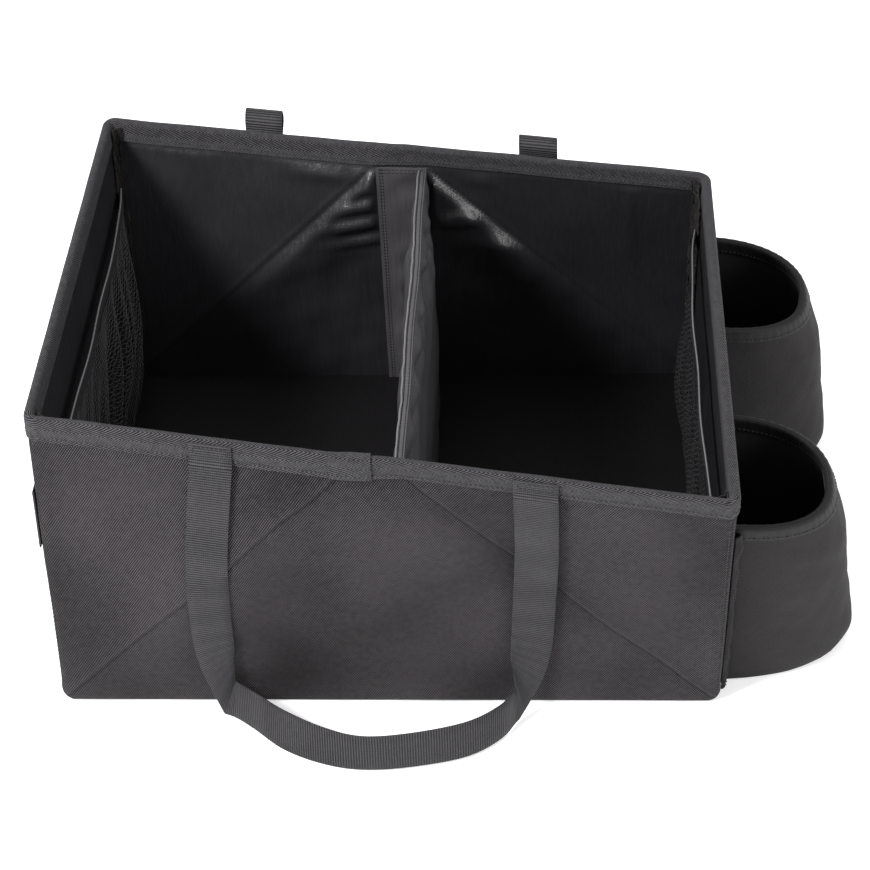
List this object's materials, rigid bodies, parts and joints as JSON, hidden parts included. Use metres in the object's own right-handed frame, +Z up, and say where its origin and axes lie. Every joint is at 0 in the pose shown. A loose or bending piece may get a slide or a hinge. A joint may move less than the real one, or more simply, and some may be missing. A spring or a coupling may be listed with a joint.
{
  "type": "car organizer",
  "caption": "Soft open-top organizer box for a car seat or trunk, with padded divider, mesh end pockets, outside cup sleeves and webbing carry handles.",
  "frame": {"origin": "middle of the base's underside, where the organizer stands", "axes": "+X along the length towards the cup sleeves, +Y towards the back wall, +Z up out of the open top"},
  "size_m": [0.484, 0.407, 0.2052],
  "materials": {
    "outer_fabric": "coarse matt weave",
    "lining": "smooth coated, satin sheen",
    "board": "plain stiffener board",
    "foam": "padding",
    "binding": "herringbone tape",
    "tape": "soft fuzzy tape",
    "mesh": "knitted net",
    "elastic": "ribbed elastic",
    "neoprene": "matt knit-faced foam rubber",
    "webbing": "ribbed webbing"
  },
  "bodies": {
    "bag": {"base_panel": "outer_fabric", "floor_board": "board", "floor_lining": "lining", "outer_front": "outer_fabric", "outer_back": "outer_fabric", "outer_left": "outer_fabric", "outer_right": "outer_fabric", "front_lining": "lining", "back_lining": "lining", "left_lining": "lining", "right_lining": "lining", "front_board_left": "board", "front_board_middle": "board", "front_board_right": "board", "back_board_left": "board", "back_board_middle": "board", "back_board_right": "board", "end_board_left": "board", "end_board_right": "board", "rim_binding": "binding", "corner_tape_front_left": "tape", "corner_tape_front_right": "tape", "corner_tape_back_left": "tape", "corner_tape_back_right": "tape", "divider_cover": "lining", "divider_core": "foam", "divider_tab_front": "lining", "divider_tab_back": "lining", "mesh_pocket_left": "mesh", "mesh_pocket_right": "mesh", "pocket_band_left": "elastic", "pocket_band_right": "elastic", "cup_front": "neoprene", "cup_front_base": "board", "cup_front_rim": "binding", "cup_front_seam_near": "tape", "cup_front_seam_far": "tape", "cup_rear": "neoprene", "cup_rear_base": "board", "cup_rear_rim": "binding", "cup_rear_seam_near": "tape", "cup_rear_seam_far": "tape", "front_handle_tail_left": "webbing", "front_handle_tail_right": "webbing", "rear_handle_tail_left": "webbing", "rear_handle_tail_right": "webbing", "side_band": "webbing"},
    "front_handle": {"front_handle": "webbing"},
    "rear_handle": {"rear_handle": "webbing"}
  },
  "joints": [
    {"name": "front_handle_swing", "type": "hinge", "parent": "bag", "child": "front_handle", "pos_m": [0, -0.1614, 0.182], "axis": [-0.9886, 0.1507, 0], "range_deg": [0, 158]},
    {"name": "rear_handle_swing", "type": "hinge", "parent": "bag", "child": "rear_handle", "pos_m": [0, 0.1744, 0.1971], "axis": [0.9835, -0.1811, 0], "range_deg": [0, 158]}
  ]
}
